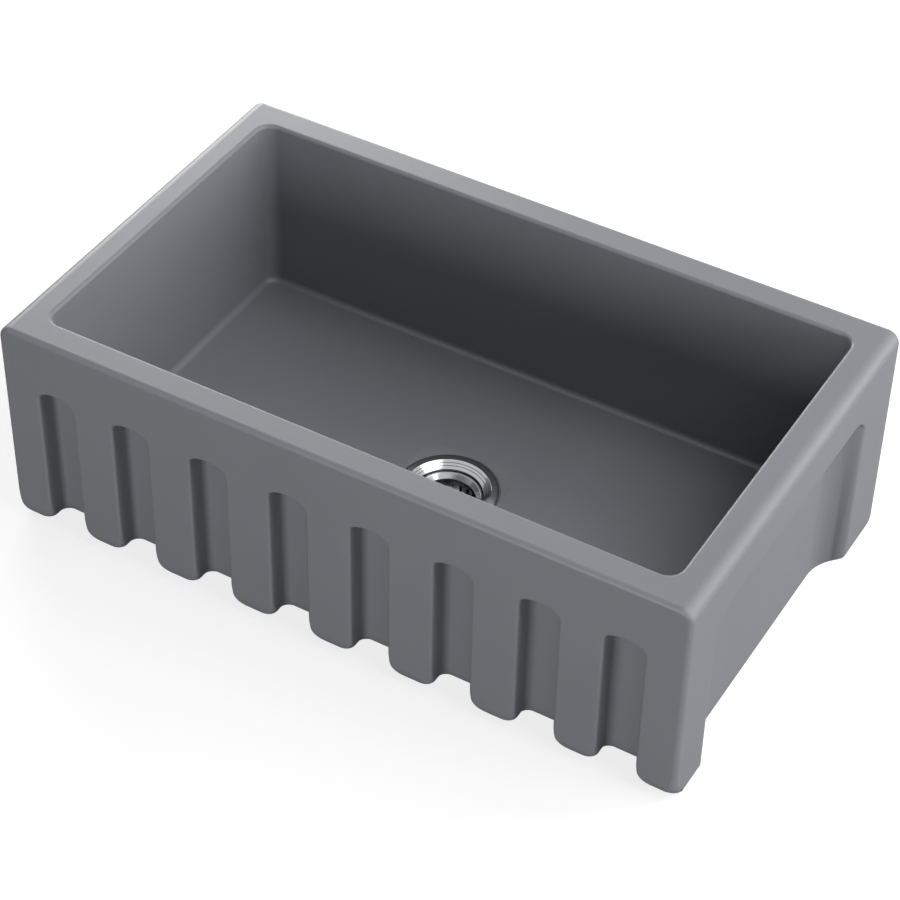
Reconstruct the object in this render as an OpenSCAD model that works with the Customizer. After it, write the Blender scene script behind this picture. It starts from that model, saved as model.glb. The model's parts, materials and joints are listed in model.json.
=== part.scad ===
// Farmhouse kitchen sink with a fluted apron front and a basket strainer in its drain.
// Millimetres, +Z up, front apron towards -Y. The origin is the centre of the plane
// that the foot ring of the body stands on, straight below the middle of the drain.

/* [Sink body] */
// Length of the body, left to right
body_length = 762; // [690:1:900]
// Width of the body, front to back
body_width = 457.2; // [420:0.1:560]
// Height of the body, foot ring to rim
body_height = 254; // [230:1:300]
// Width of the rim on the left and right
rim_side = 34.5; // [28:0.5:45]
// Width of the rim at the front and back
rim_front = 33; // [28:0.5:45]
// Thickness of the floor at the foot of the bowl walls, above the hollow underneath
floor_thickness = 25; // [22:0.5:40]
// Fall of the bowl floor from its walls to the drain
floor_fall = 3.5; // [1:0.5:6]
// Corner radius of the bowl, seen from above
bowl_corner_r = 16; // [10:1:40]
// Radius where the bowl walls meet the floor
bowl_floor_r = 7; // [3:0.5:9]
// Radius of the rim's inner edge
rim_inner_r = 4; // [2:0.5:8]
// Radius of the rolled top edge on the left and right
rim_roll_r = 14; // [8:1:20]
// Radius of the top edges and upright edges of the front and back
face_edge_r = 5.5; // [3:0.5:7]
// Radius of the bottom edge below the front and back
toe_r = 21.5; // [12:0.5:24]
// Radius of the bottom edge on the left and right
foot_edge_r = 3.5; // [2:0.5:6]

/* [Apron flutes] */
// Number of flutes in the apron
flute_count = 8; // [5:1:8]
// Distance between flute centres
flute_pitch = 90.6; // [70:0.1:91]
// Width of a flute
flute_width = 44; // [34:1:52]
// Depth of a flute
flute_depth = 21; // [16:0.5:22]
// Height of the top of the flute arches above the feet
flute_top = 190; // [150:1:205]
// Radius of the outer edge of a flute
flute_lip_r = 4; // [2:0.5:6]
// Radius in the bottom corner of a flute
flute_root_r = 8; // [4:0.5:10]

/* [Side recesses] */
// Width of the pillar left standing at the front
pillar_front = 58; // [45:0.5:80]
// Width of the pillar left standing at the back
pillar_back = 68; // [45:0.5:90]
// Height of the top of a side recess above the feet
recess_top = 196; // [150:1:205]
// Depth of a side recess
recess_depth = 22.5; // [16:0.5:24]
// Slope of the recess walls against the side face, degrees
recess_slope = 43; // [35:0.5:50]
// Radius where the sloping recess wall meets its floor
recess_root_r = 50; // [15:1:54]
// Radius of the upright lips of a recess
recess_lip_r = 8; // [3:0.5:10]
// Radius of the top corners of a recess
recess_corner_r = 34; // [20:1:50]
// Radius of the top lip of a recess
recess_top_lip_r = 3; // [1.5:0.5:5]
// Radius where the top of a recess meets its floor
recess_top_root_r = 10; // [4:1:16]

/* [Underside] */
// Width of the foot ring that the body stands on
foot_ring = 62; // [56:1:80]
// Depth of the hollow inside the foot ring
hollow_depth = 18; // [12:0.5:20]
// Corner radius of the hollow
hollow_corner_r = 30; // [15:1:50]

/* [Drain opening] */
// Gap between the thread of the strainer and the wall of the drain hole
hole_gap = 4; // [3:0.5:6]
// Gap between the strainer flange and the edge of its shallow seat
seat_gap = 2; // [1:0.5:6]
// Depth of the seat below the floor
drain_seat_depth = 2; // [1.5:0.1:3]
// Radius of the upper edge of the drain hole
drain_edge_r = 3; // [2:0.5:4]

/* [Strainer] */
// Width of the flange past the edge of the drain hole
flange_lap = 8; // [6:0.5:12]
// Thickness of the pressed sheet of the strainer
sheet = 1.5; // [1:0.1:1.8]
// Thickness of the putty under the flange
putty_h = 1; // [0.6:0.1:1.2]
// Width of the dished throat between the flange and the cup
throat_w = 7; // [6:0.5:8]
// Inner diameter of the strainer cup
cup_d = 77; // [72:0.5:84]
// Length of the strainer cup below the locknut
cup_foot_length = 20.8; // [20:0.1:30]
// Radius in the bottom corner of the strainer cup
cup_corner_r = 8; // [4:0.5:10]
// Height of the thread ridges on the cup
thread_depth = 1.5; // [1:0.1:2]
// Inner diameter of the outlet
outlet_d = 39; // [36:0.5:42]
// Length of the neck below the cup
neck_length = 10; // [8:0.5:12]

/* [Fixings below the sink] */
// Thickness of the rubber gasket
gasket_h = 3; // [2:0.5:4]
// Width of the rubber gasket's ring
gasket_w = 13.4; // [11:0.1:16]
// Thickness of the friction washer
friction_h = 1.2; // [0.8:0.1:1.5]
// Width of the friction washer's ring
friction_w = 10.4; // [8:0.1:13]
// Height of the locknut
locknut_h = 9; // [7:0.5:9]
// Width of the locknut's ring
locknut_w = 7.4; // [6:0.1:9]
// Number of lugs on the locknut
locknut_lugs = 8; // [4:1:10]
// Wall thickness of the outlet collar round the neck
collar_wall = 2.8; // [2.4:0.1:3.4]
// Length of the outlet collar
collar_length = 28.5; // [26:0.5:34]
// Thickness of the tailpiece washer
tail_washer_h = 2.5; // [2:0.1:3]
// Outer diameter of the tailpiece
tail_d = 38.1; // [37.5:0.1:38.3]
// Wall thickness of the tailpiece
tail_wall = 1.2; // [0.8:0.1:1.6]
// Length of the tailpiece below its flange
tail_length = 100; // [60:1:150]
// Number of lugs on the coupling nut
coupling_lugs = 6; // [4:1:8]

/* [Basket] */
// Gap between the basket rim and the wall of the cup
basket_gap = 2; // [1:0.5:3]
// Thickness of the basket's sheet
basket_sheet = 1; // [0.8:0.1:1.2]
// Depth of the basket rim below the strainer flange
basket_drop = 8.5; // [7:0.5:10]
// Width of the basket's dished rim
basket_rim_w = 7; // [5:0.5:9]
// Draw-in of the basket wall from its rim down to its floor
basket_taper = 5; // [4:0.5:10]
// Number of slots in the basket wall
wall_slots = 20; // [8:1:24]
// Width of a slot in the basket wall
wall_slot_w = 3; // [2:0.1:4]
// Number of slots in the basket floor
floor_slots = 10; // [6:1:12]
// Diameter of the post
post_d = 7; // [6:0.5:8]
// Diameter of the knob
knob_d = 21; // [18:0.5:24]
// Height of the knob
knob_h = 10; // [8:0.5:12]
// Width by which the rubber stopper laps over the edge of the outlet
stopper_lap = 7.5; // [5:0.5:9]
// Thickness of the rubber stopper
stopper_h = 4; // [3:0.5:5]
// Diameter of the spring clip at its bulge
clip_d = 14.4; // [13:0.1:16]

/* [Hidden] */
// All round forms are drawn fine, and a cut runs this far past the face that it opens
$fn = 96;
overrun = 1;
// Gap between pieces that move against each other, and running clearance of the post
rest_gap = 0.3;
running_gap = 0.08;
// Clearance of threads, and of the nut's lip that slips over the tailpiece
thread_gap = 0.1;
lip_gap = 1;

// Heights in the body
floor_wall_z = hollow_depth + floor_thickness;
bowl_depth = body_height - floor_wall_z;
floor_drain_z = floor_wall_z - floor_fall;
drain_seat_z = floor_drain_z - drain_seat_depth;

// Diameters round the drain: cup, its thread, the hole, the flange and the seat
cup_thread_d = cup_d + 2 * sheet + 2 * thread_depth;
drain_hole_d = cup_thread_d + 2 * hole_gap;
flange_d = drain_hole_d + 2 * flange_lap;
drain_seat_d = flange_d + 2 * seat_gap;
land_d = cup_d + 2 * throat_w;
nut_bore_d = cup_thread_d + 2 * thread_gap;
locknut_d = nut_bore_d + 2 * locknut_w;
bowl_length = body_length - 2 * rim_side;
bowl_width = body_width - 2 * rim_front;

// Where the sloping walls of a side recess meet the side face, front to back
recess_front = -body_width / 2 + pillar_front;
recess_back = body_width / 2 - pillar_back;

// Heights in the stack under the sink
gasket_z = hollow_depth - gasket_h;
friction_z = gasket_z - friction_h;
locknut_z = friction_z - locknut_h;
locknut_lug_w = 14;
locknut_lug_reach = 5;

// Heights in the strainer
flange_top_z = drain_seat_z + putty_h + sheet;
cup_floor_z = locknut_z - cup_foot_length;
cup_under_z = cup_floor_z - sheet;
neck_end_z = cup_floor_z - neck_length;
// The throat is the dished ring between flange and cup, with one step on the way down
throat_drop = basket_drop + basket_sheet;
step_drop_share = 0.4;
step_ledge = 1.2;
step_fall = 0.5;
lip_round = 0.6;

// The outlet collar, the cross bar inside it and the joint to the tailpiece
collar_end_z = cup_under_z - collar_length;
collar_flange_w = 5.2;
collar_flange_h = 3;
neck_d = outlet_d + 2 * sheet;
outlet_thread_d = neck_d + 2 * collar_wall;
cross_bar_h = 3;
cross_bar_z = neck_end_z - cross_bar_h;
cross_ring_w = 2.2;
cross_arm_w = 4;
clip_pass = 0.4;
cross_hub_wall = 2.9;
cross_hub_bore = clip_d + 2 * clip_pass;
cross_hub_d = cross_hub_bore + 2 * cross_hub_wall;
cross_arms = 4;
tail_flange_h = 1.4;
tail_flange_z = collar_end_z - tail_washer_h - tail_flange_h;
tail_end_z = tail_flange_z - tail_length;
coupling_grip = 12;
coupling_lip_h = 3;
coupling_wall = 3.5;
coupling_lug_r = 4.5;

// Sizes round the post, and of the stopper that the basket stands on
stopper_d = outlet_d + 2 * stopper_lap;
stopper_z = cup_floor_z + rest_gap;
plate_inset = 8;
plate_d = stopper_d - 2 * plate_inset;
plate_h = 1.2;
plate_z = stopper_z + stopper_h;
washer_w = 5.5;
washer_h = 1;
washer_z = plate_z + plate_h;
post_collar_w = 3.5;
post_collar_h = 3;
post_below_bar = 14.7;
post_foot_z = cross_bar_z - post_below_bar;
nut_wall = 2;
nut_h = 5;
knob_neck_wall = 1.5;
knob_below_flange = 3;
knob_z = flange_top_z - knob_below_flange - knob_h;

// Diameters and heights of the basket
basket_d = cup_d - 2 * basket_gap;
basket_wall_d = basket_d - 2 * basket_rim_w;
basket_floor_d = basket_wall_d - 2 * basket_taper;
basket_floor_z = washer_z + washer_h + rest_gap;
basket_top_z = flange_top_z - basket_drop;
basket_dish_drop = 6.5;
basket_corner_r = 4;
basket_boss_w = 3;
clip_sheet = 0.8;
clip_below_stopper = 1.5;
clip_top_z = stopper_z - clip_below_stopper;
clip_bottom_z = post_foot_z + nut_h;
clip_slots = 4;
clip_slot_w = 2;

// Points of an arc about (x, y), from one angle to another
function arc(x, y, r, from, to, steps = 8) =
    [for (i = [0:steps]) [
        x + r * cos(from + (to - from) * i / steps),
        y + r * sin(from + (to - from) * i / steps)
    ]];

// What a rounded edge takes away: the corner at the origin, round towards +X and +Y
module edge_waste(r) {
    difference() {
        translate([-overrun, -overrun]) square(r + overrun);
        translate([r, r]) circle(r);
    }
}

// The same waste along a straight edge of a given length, centred on the origin, along X
module edge_cut(length, r) {
    rotate([90, 0, 90]) linear_extrude(length, center = true) edge_waste(r);
}

// A flat rectangle with four round corners, centred
module round_rect(length, width, r) {
    union() {
        square([length - 2 * r, width], center = true);
        square([length, width - 2 * r], center = true);
        for (sx = [-1, 1], sy = [-1, 1])
            translate([sx * (length / 2 - r), sy * (width / 2 - r)]) circle(r);
    }
}

// Flat ring
module ring(outer_d, inner_d, h) {
    difference() {
        cylinder(h = h, d = outer_d);
        translate([0, 0, -overrun]) cylinder(h = h + 2 * overrun, d = inner_d);
    }
}

// Turns a shape over to the other side when side is -1
module on_side_x(side) {
    mirror([side < 0 ? 1 : 0, 0, 0]) children();
}
module on_side_y(side) {
    mirror([0, side < 0 ? 1 : 0, 0]) children();
}

// What a round corner of radius r leaves out where a line from -X turns down by an angle
module bend_waste(r, angle) {
    reach = r * tan(angle / 2);
    difference() {
        polygon([[-reach, 0], [0, 0], [reach * cos(angle), -reach * sin(angle)]]);
        translate([-reach, -r]) circle(r);
    }
}

// Section of the bowl at a wall, from its corner centre outwards, floor at zero
module bowl_wall_section() {
    difference() {
        square([bowl_corner_r, bowl_depth + overrun]);
        translate([bowl_corner_r, 0]) mirror([1, 0]) edge_waste(bowl_floor_r);
    }
    translate([bowl_corner_r, bowl_depth]) mirror([0, 1]) edge_waste(rim_inner_r);
}

// The bowl as one solid: core, four wall strips and four round corners
module bowl_space() {
    core_length = bowl_length - 2 * bowl_corner_r;
    core_width = bowl_width - 2 * bowl_corner_r;
    translate([0, 0, floor_wall_z]) union() {
        translate([-core_length / 2, -core_width / 2, 0])
            cube([core_length, core_width, bowl_depth + overrun]);
        for (side = [-1, 1]) {
            on_side_y(side) translate([-core_length / 2, core_width / 2, 0])
                rotate([90, 0, 90]) linear_extrude(core_length) bowl_wall_section();
            on_side_x(side) translate([core_length / 2, core_width / 2, 0])
                rotate([90, 0, 0]) linear_extrude(core_width) bowl_wall_section();
        }
        for (sx = [-1, 1], sy = [-1, 1])
            on_side_x(sx) on_side_y(sy) translate([core_length / 2, core_width / 2, 0])
                rotate_extrude(angle = 90) bowl_wall_section();
    }
}

// The fall of the floor: the space between four shallow slopes that meet at the drain
module floor_fall_space() {
    flat = drain_seat_d / 2;
    half_length = bowl_length / 2 - bowl_floor_r;
    half_width = bowl_width / 2 - bowl_floor_r;
    intersection() {
        translate([0, half_width, 0]) rotate([90, 0, 0]) linear_extrude(2 * half_width)
            fall_section(half_length, flat);
        translate([-half_length, 0, 0]) rotate([90, 0, 90]) linear_extrude(2 * half_length)
            fall_section(half_width, flat);
    }
}

// One fall section: level over the drain, rising to the foot of the wall on both sides
module fall_section(half, flat) {
    polygon([
        [-half, floor_wall_z], [-flat, floor_drain_z], [flat, floor_drain_z],
        [half, floor_wall_z], [half, floor_wall_z + overrun], [-half, floor_wall_z + overrun]
    ]);
}

// Half section of a pocket in an upright face: open towards -Y, reaching out along +X,
// with a flared lip at the face and a round root at its floor
module pocket_half(reach, depth, lip_r, root_r) {
    difference() {
        translate([0, -overrun]) square([reach, depth + overrun]);
        translate([reach, depth]) rotate(180) edge_waste(root_r);
    }
    translate([reach, 0]) edge_waste(lip_r);
}

// Quarter turn of that half section: the round upper corner of a pocket, towards +X
module pocket_corner(reach, depth, lip_r, root_r) {
    rotate([-90, 0, 0]) rotate([0, 0, -90])
        rotate_extrude(angle = 90) pocket_half(reach, depth, lip_r, root_r);
}

// The turned-under foot of a flute floor, where it follows the bottom edge of the apron
module flute_foot() {
    root_x = flute_width / 2 - flute_root_r;
    root_y = flute_depth - flute_root_r;
    translate([0, flute_depth, 0]) edge_cut(2 * root_x, toe_r);
    for (side = [-1, 1])
        on_side_x(side) translate([root_x, root_y, 0]) intersection() {
            rotate_extrude(angle = 90) difference() {
                translate([0, -overrun]) square([flute_root_r + toe_r, toe_r + overrun]);
                translate([flute_root_r + toe_r, toe_r]) circle(toe_r);
            }
            translate([0, 0, -overrun])
                cube([flute_root_r, flute_root_r + toe_r + overrun, toe_r + 2 * overrun]);
        }
}

// One flute, cut out of the apron: straight part, round arch and foot
module flute_space() {
    reach = flute_width / 2;
    spring_z = flute_top - reach;
    for (side = [-1, 1]) on_side_x(side) {
        translate([0, 0, -overrun]) linear_extrude(spring_z + overrun)
            pocket_half(reach, flute_depth, flute_lip_r, flute_root_r);
        translate([0, 0, spring_z])
            pocket_corner(reach, flute_depth, flute_lip_r, flute_root_r);
    }
    flute_foot();
}

// Section of a side recess seen from above: open towards -Y, walls sloping to its floor
module recess_section() {
    run = recess_depth / tan(recess_slope);
    difference() {
        polygon([
            [recess_front, -overrun], [recess_front, 0], [recess_front + run, recess_depth],
            [recess_back - run, recess_depth], [recess_back, 0], [recess_back, -overrun]
        ]);
        translate([recess_back - run, recess_depth]) bend_waste(recess_root_r, recess_slope);
        translate([recess_front + run, recess_depth]) mirror([1, 0])
            bend_waste(recess_root_r, recess_slope);
    }
    translate([recess_back, 0]) rotate(180) bend_waste(recess_lip_r, recess_slope);
    translate([recess_front, 0]) mirror([1, 0]) rotate(180)
        bend_waste(recess_lip_r, recess_slope);
}

// One side recess: its section, cut off above by an arched top with round corners
module recess_space() {
    flare = recess_lip_r * tan(recess_slope / 2);
    width = recess_back - recess_front + 2 * flare;
    corner_z = recess_top - recess_corner_r;
    intersection() {
        translate([0, 0, -overrun])
            linear_extrude(recess_top + recess_top_lip_r + 2 * overrun) recess_section();
        translate([(recess_front + recess_back) / 2, 0, 0]) union() {
            translate([-width / 2, -overrun, -2 * overrun])
                cube([width, recess_depth + overrun, corner_z + 2 * overrun]);
            translate([0, 0, corner_z]) rotate([0, -90, 0])
                linear_extrude(width - 2 * recess_corner_r, center = true)
                    pocket_half(
                        recess_corner_r, recess_depth, recess_top_lip_r, recess_top_root_r
                    );
            for (side = [-1, 1])
                on_side_x(side) translate([width / 2 - recess_corner_r, 0, corner_z])
                    pocket_corner(
                        recess_corner_r, recess_depth, recess_top_lip_r, recess_top_root_r
                    );
        }
    }
}

// The whole block before anything is hollowed out of it
module body_block() {
    half_x = body_length / 2;
    half_y = body_width / 2;
    roll_x = half_x - rim_roll_r;
    roll_z = body_height - rim_roll_r;
    difference() {
        translate([-half_x, -half_y, 0]) cube([body_length, body_width, body_height]);
        for (side = [-1, 1]) {
            on_side_x(side) translate([half_x, 0, body_height]) rotate([0, 180, 90])
                edge_cut(body_width + 2 * overrun, rim_roll_r);
            on_side_x(side) translate([half_x, 0, 0]) rotate([0, 0, 90])
                edge_cut(body_width + 2 * overrun, foot_edge_r);
            on_side_y(side) translate([0, -half_y, 0])
                edge_cut(body_length + 2 * overrun, toe_r);
            on_side_y(side) translate([0, -half_y, body_height]) mirror([0, 0, 1])
                edge_cut(2 * roll_x, face_edge_r);
        }
        for (sx = [-1, 1], sy = [-1, 1]) on_side_x(sx) on_side_y(sy) {
            translate([half_x, -half_y, -overrun]) linear_extrude(roll_z + overrun)
                mirror([1, 0]) edge_waste(face_edge_r);
            translate([roll_x, -half_y, roll_z]) rotate([-90, 0, 0]) rotate([0, 0, -90])
                rotate_extrude(angle = 90) translate([rim_roll_r, 0])
                    mirror([1, 0]) edge_waste(face_edge_r);
        }
    }
}

module sink_body() {
    hollow_length = body_length - 2 * foot_ring;
    hollow_width = body_width - 2 * foot_ring;
    color([0.44, 0.445, 0.465]) difference() {
        body_block();
        bowl_space();
        floor_fall_space();
        for (i = [0:flute_count - 1])
            translate([(i - (flute_count - 1) / 2) * flute_pitch, -body_width / 2, 0])
                flute_space();
        for (side = [-1, 1])
            on_side_x(side) translate([body_length / 2, 0, 0]) rotate([0, 0, 90])
                recess_space();
        translate([0, 0, -overrun]) linear_extrude(hollow_depth + overrun)
            round_rect(hollow_length, hollow_width, hollow_corner_r);
        translate([0, 0, drain_seat_z]) cylinder(h = drain_seat_depth + overrun, d = drain_seat_d);
        cylinder(h = body_height, d = drain_hole_d);
        translate([0, 0, drain_seat_z]) rotate_extrude()
            translate([drain_hole_d / 2, 0]) mirror([0, 1]) edge_waste(drain_edge_r);
    }
}

// Soft ring of putty that beds the flange
module putty_ring() {
    color([0.55, 0.54, 0.5]) translate([0, 0, drain_seat_z])
        ring(flange_d - 2 * putty_h, drain_hole_d + 2 * drain_edge_r, putty_h);
}

// Inner surface of the strainer from flange edge to neck end, as radius and height
function strainer_inside() =
    let (
        land_r = land_d / 2,
        cup_r = cup_d / 2,
        out_r = outlet_d / 2,
        step_r = land_r - (land_r - cup_r) * step_drop_share,
        step_z = flange_top_z - throat_drop * step_drop_share
    ) concat(
        arc(flange_d / 2 - lip_round, flange_top_z - lip_round, lip_round, 0, 90, 4),
        [
            [land_r, flange_top_z],
            [step_r, step_z],
            [step_r - step_ledge, step_z - step_fall],
            [cup_r + step_fall, flange_top_z - throat_drop + step_fall],
            [cup_r, flange_top_z - throat_drop]
        ],
        arc(cup_r - cup_corner_r, cup_floor_z + cup_corner_r, cup_corner_r, 0, -90),
        arc(out_r + sheet, cup_floor_z - sheet, sheet, 90, 180, 4),
        [[out_r, neck_end_z]]
    );

// Outer surface back up again, with the thread as a plain thicker band
function strainer_outside() =
    let (
        cup_r = cup_d / 2,
        thread_r = cup_thread_d / 2,
        thread_low_z = locknut_z - locknut_h,
        thread_high_z = drain_seat_z - drain_edge_r - sheet
    ) concat(
        [[outlet_d / 2 + sheet, neck_end_z], [outlet_d / 2 + sheet, cup_under_z]],
        arc(cup_r - cup_corner_r, cup_floor_z + cup_corner_r, cup_corner_r + sheet, -90, 0),
        [
            [cup_r + sheet, thread_low_z], [thread_r, thread_low_z],
            [thread_r, thread_high_z],
            [land_d / 2, flange_top_z - sheet],
            [flange_d / 2, flange_top_z - sheet]
        ]
    );

// Pressed strainer: flange, dished throat, threaded cup and neck
module strainer_body() {
    color([0.75, 0.76, 0.78]) rotate_extrude()
        polygon(concat(strainer_inside(), strainer_outside()));
}

// Spider ring with a bored hub that the basket's spring clip snaps into
module cross_bar() {
    ring_outer_d = neck_d;
    ring_inner_d = neck_d - 2 * cross_ring_w;
    color([0.72, 0.73, 0.74]) translate([0, 0, cross_bar_z]) union() {
        ring(ring_outer_d, ring_inner_d, cross_bar_h);
        ring(cross_hub_d, cross_hub_bore, cross_bar_h);
        for (i = [0:cross_arms - 1]) rotate([0, 0, i * 360 / cross_arms])
            translate([(cross_hub_d + cross_hub_bore) / 4, -cross_arm_w / 2, 0])
                cube([
                    ring_inner_d / 2 + cross_ring_w / 2 - (cross_hub_d + cross_hub_bore) / 4,
                    cross_arm_w, cross_bar_h
                ]);
    }
}

// Threaded collar that holds the neck and the cross bar, with a flange under the cup
module outlet_collar() {
    color([0.72, 0.6, 0.36]) difference() {
        union() {
            translate([0, 0, collar_end_z]) cylinder(h = collar_length, d = outlet_thread_d);
            translate([0, 0, cup_under_z - collar_flange_h])
                cylinder(h = collar_flange_h, d = outlet_thread_d + 2 * collar_flange_w);
        }
        translate([0, 0, collar_end_z - overrun])
            cylinder(h = collar_length + 2 * overrun, d = outlet_d);
        translate([0, 0, cross_bar_z])
            cylinder(h = cup_under_z - cross_bar_z + overrun, d = neck_d);
    }
}

// Rubber ring against the underside of the body
module sink_gasket() {
    color([0.1, 0.1, 0.1]) translate([0, 0, gasket_z])
        ring(nut_bore_d + 2 * gasket_w, nut_bore_d, gasket_h);
}

// Thin fibre ring that lets the locknut turn without dragging the rubber
module friction_washer() {
    color([0.62, 0.5, 0.36]) translate([0, 0, friction_z])
        ring(nut_bore_d + 2 * friction_w, nut_bore_d, friction_h);
}

// Big ring nut with lugs that pulls the strainer down on the floor of the bowl
module locknut() {
    bore_r = nut_bore_d / 2;
    lug_end_r = locknut_d / 2 + locknut_lug_reach;
    color([0.68, 0.69, 0.7]) translate([0, 0, locknut_z]) linear_extrude(locknut_h)
        difference() {
            union() {
                circle(d = locknut_d);
                intersection() {
                    circle(lug_end_r);
                    for (i = [0:locknut_lugs - 1]) rotate(i * 360 / locknut_lugs)
                        translate([bore_r, -locknut_lug_w / 2])
                            square([lug_end_r - bore_r, locknut_lug_w]);
                }
            }
            circle(bore_r);
        }
}

// Soft washer between the collar and the flange of the tailpiece
module tailpiece_washer() {
    color([0.9, 0.9, 0.88]) translate([0, 0, collar_end_z - tail_washer_h])
        ring(outlet_thread_d - 2 * thread_gap, tail_d - 2 * tail_wall, tail_washer_h);
}

// Flanged tube that leads down to the trap
module tailpiece() {
    color([0.78, 0.79, 0.8]) difference() {
        union() {
            translate([0, 0, tail_flange_z])
                cylinder(h = tail_flange_h, d = outlet_thread_d - 2 * thread_gap);
            translate([0, 0, tail_end_z]) cylinder(h = tail_length, d = tail_d);
        }
        translate([0, 0, tail_end_z - overrun])
            cylinder(
                h = tail_length + tail_flange_h + 2 * overrun, d = tail_d - 2 * tail_wall
            );
    }
}

// Nut that clamps the tailpiece flange against the collar
module coupling_nut() {
    top_z = collar_end_z + coupling_grip;
    bottom_z = tail_flange_z - coupling_lip_h;
    outer_r = outlet_thread_d / 2 + coupling_wall;
    color([0.76, 0.77, 0.78]) translate([0, 0, bottom_z]) difference() {
        union() {
            cylinder(h = top_z - bottom_z, r = outer_r);
            for (i = [0:coupling_lugs - 1]) rotate([0, 0, i * 360 / coupling_lugs])
                translate([outer_r - coupling_lug_r / 2, 0, 0])
                    cylinder(h = top_z - bottom_z, r = coupling_lug_r);
        }
        translate([0, 0, -overrun])
            cylinder(h = coupling_lip_h + 2 * overrun, d = tail_d + 2 * lip_gap);
        translate([0, 0, coupling_lip_h])
            cylinder(
                h = top_z - bottom_z, d = outlet_thread_d + 2 * thread_gap
            );
    }
}

// Inside of the basket from rim to floor, as radius and height
function basket_inside() =
    let (
        rim_r = basket_d / 2,
        wall_r = basket_wall_d / 2,
        floor_r = basket_floor_d / 2,
        floor_z = basket_floor_z + basket_sheet
    ) concat(
        arc(rim_r - basket_sheet / 2, basket_top_z - basket_sheet / 2, basket_sheet / 2, 0, 90, 4),
        [
            [rim_r - 2 * basket_sheet, basket_top_z],
            [wall_r, basket_top_z - basket_dish_drop],
            [floor_r, floor_z + basket_corner_r]
        ],
        arc(floor_r - basket_corner_r, floor_z + basket_corner_r, basket_corner_r, 0, -90),
        [[post_d / 2 + running_gap, floor_z]]
    );

// Outside of the basket, back up to the rim
function basket_outside() =
    let (
        rim_r = basket_d / 2,
        wall_r = basket_wall_d / 2,
        floor_r = basket_floor_d / 2,
        floor_z = basket_floor_z + basket_sheet,
        corner_out_r = basket_corner_r + basket_sheet
    ) concat(
        [[post_d / 2 + running_gap, basket_floor_z]],
        arc(floor_r - basket_corner_r, floor_z + basket_corner_r, corner_out_r, -90, 0),
        [
            [wall_r + basket_sheet, basket_top_z - basket_dish_drop - basket_sheet / 2],
            [rim_r - 2 * basket_sheet, basket_top_z - basket_sheet],
            [rim_r, basket_top_z - basket_sheet]
        ]
    );

// Slot with round ends, from the origin along X
module slot_outline(length, width) {
    translate([0, -width / 2]) square([length, width]);
    circle(d = width);
    translate([length, 0]) circle(d = width);
}

// Pressed basket with a dished rim, upright slots in the wall and slots in the floor
module basket_cup() {
    slot_low_z = basket_floor_z + 2 * basket_corner_r;
    slot_high_z = basket_top_z - basket_dish_drop - 2 * wall_slot_w;
    slot_in_r = post_d / 2 + basket_boss_w + wall_slot_w;
    slot_out_r = basket_floor_d / 2 - basket_corner_r - wall_slot_w;
    wall_cut = (basket_d - basket_floor_d) / 2 + basket_corner_r;
    color([0.8, 0.81, 0.83]) difference() {
        rotate_extrude() polygon(concat(basket_inside(), basket_outside()));
        for (i = [0:wall_slots - 1]) rotate([0, 0, i * 360 / wall_slots])
            translate([basket_d / 2, 0, slot_low_z]) rotate([0, -90, 0])
                linear_extrude(wall_cut)
                    slot_outline(slot_high_z - slot_low_z, wall_slot_w);
        for (i = [0:floor_slots - 1]) rotate([0, 0, i * 360 / floor_slots])
            translate([slot_in_r, 0, basket_floor_z - overrun])
                linear_extrude(basket_sheet + 2 * overrun)
                    slot_outline(slot_out_r - slot_in_r, wall_slot_w);
    }
}

// Turned post: shaft, the collar that keeps the cup down and a threaded end at each end
module basket_post() {
    collar_d = post_d + 2 * post_collar_w;
    collar_z = basket_floor_z + basket_sheet + rest_gap;
    color([0.74, 0.75, 0.76]) union() {
        translate([0, 0, post_foot_z]) cylinder(h = knob_z + knob_h / 2 - post_foot_z, d = post_d);
        translate([0, 0, collar_z]) cylinder(h = post_collar_h, d = collar_d);
        translate([0, 0, collar_z + post_collar_h])
            cylinder(h = post_collar_h, d1 = collar_d, d2 = post_d);
    }
}

// Mushroom knob that is gripped to lift the basket
module basket_knob() {
    neck_h = knob_h / 2;
    neck_r = post_d / 2 + knob_neck_wall;
    round_r = knob_h / 4;
    crown_angle = 60;
    color([0.82, 0.83, 0.85]) translate([0, 0, knob_z]) difference() {
        rotate_extrude() polygon(concat(
            [[0, 0], [neck_r, 0], [neck_r, neck_h - round_r]],
            [[knob_d / 2 - round_r, neck_h - round_r / 2]],
            arc(knob_d / 2 - round_r, knob_h - round_r, round_r, 0, crown_angle, 6),
            [[0, knob_h]]
        ));
        translate([0, 0, -overrun]) cylinder(h = neck_h + overrun, d = post_d + 2 * running_gap);
    }
}

// Thin slippery washer that the cup turns on
module glide_washer() {
    color([0.92, 0.92, 0.9]) translate([0, 0, washer_z])
        ring(post_d + 2 * washer_w, post_d + 2 * running_gap, washer_h);
}

// Steel disc that backs the rubber stopper
module stopper_plate() {
    color([0.76, 0.77, 0.79]) translate([0, 0, plate_z])
        ring(plate_d, post_d + 2 * running_gap, plate_h);
}

// Rubber disc that closes the outlet, with a thin sealing lip at its edge
module stopper_seal() {
    lip_h = stopper_h / 2;
    color([0.12, 0.12, 0.12]) translate([0, 0, stopper_z]) difference() {
        union() {
            cylinder(h = lip_h, d1 = stopper_d - lip_h, d2 = stopper_d);
            translate([0, 0, lip_h]) cylinder(h = stopper_h - lip_h, d1 = stopper_d, d2 = plate_d);
        }
        translate([0, 0, -overrun])
            cylinder(h = stopper_h + 2 * overrun, d = post_d + 2 * running_gap);
    }
}

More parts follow.
